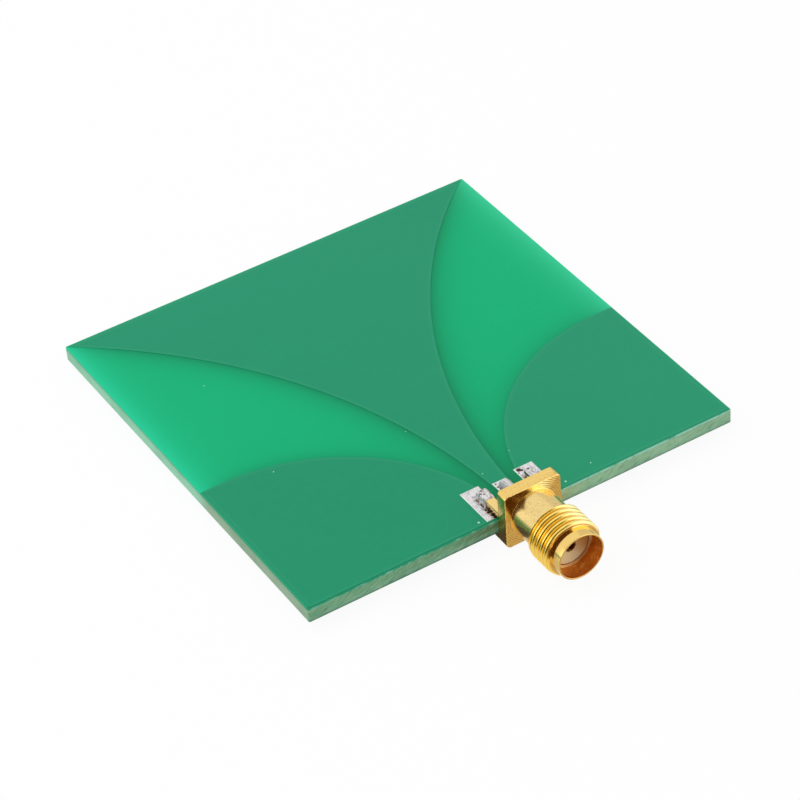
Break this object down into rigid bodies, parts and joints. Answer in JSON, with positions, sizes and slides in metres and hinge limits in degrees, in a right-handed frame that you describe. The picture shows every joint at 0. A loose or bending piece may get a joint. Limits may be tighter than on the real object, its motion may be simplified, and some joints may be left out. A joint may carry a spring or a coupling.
{
  "type": "ultra-wideband antenna module",
  "caption": "Square green circuit-board antenna with an arc-flared printed radiator between round-cornered ground planes, fed by a threaded coaxial jack soldered to one edge.",
  "frame": {"origin": "on the jack's axis, at its mating reference plane: the floor of the bore", "axes": "+Y along the jack's axis into the board, +Z out of the copper side, +X to the right when the jack points at the viewer"},
  "size_m": [0.05, 0.0596, 0.0066],
  "materials": {
    "laminate": "sawn glass-epoxy edge with fine streaks",
    "copper": "satin copper foil",
    "solder_mask": "glossy translucent green lacquer",
    "solder": "lumpy tin solder, part bright and part frosted",
    "gold_plating": "gold-plated turned brass",
    "insulator": "waxy fluoropolymer"
  },
  "bodies": {
    "root": {"board_laminate": "laminate", "radiator_copper": "copper", "left_ground_copper": "copper", "right_ground_copper": "copper", "top_solder_mask": "solder_mask", "bottom_solder_mask": "solder_mask", "left_bottom_pad": "copper", "right_bottom_pad": "copper", "left_top_solder": "solder", "right_top_solder": "solder", "pin_solder": "solder", "left_bottom_solder": "solder", "right_bottom_solder": "solder", "jack_body": "gold_plating", "jack_insulator": "insulator", "centre_contact": "gold_plating"}
  },
  "joints": []
}
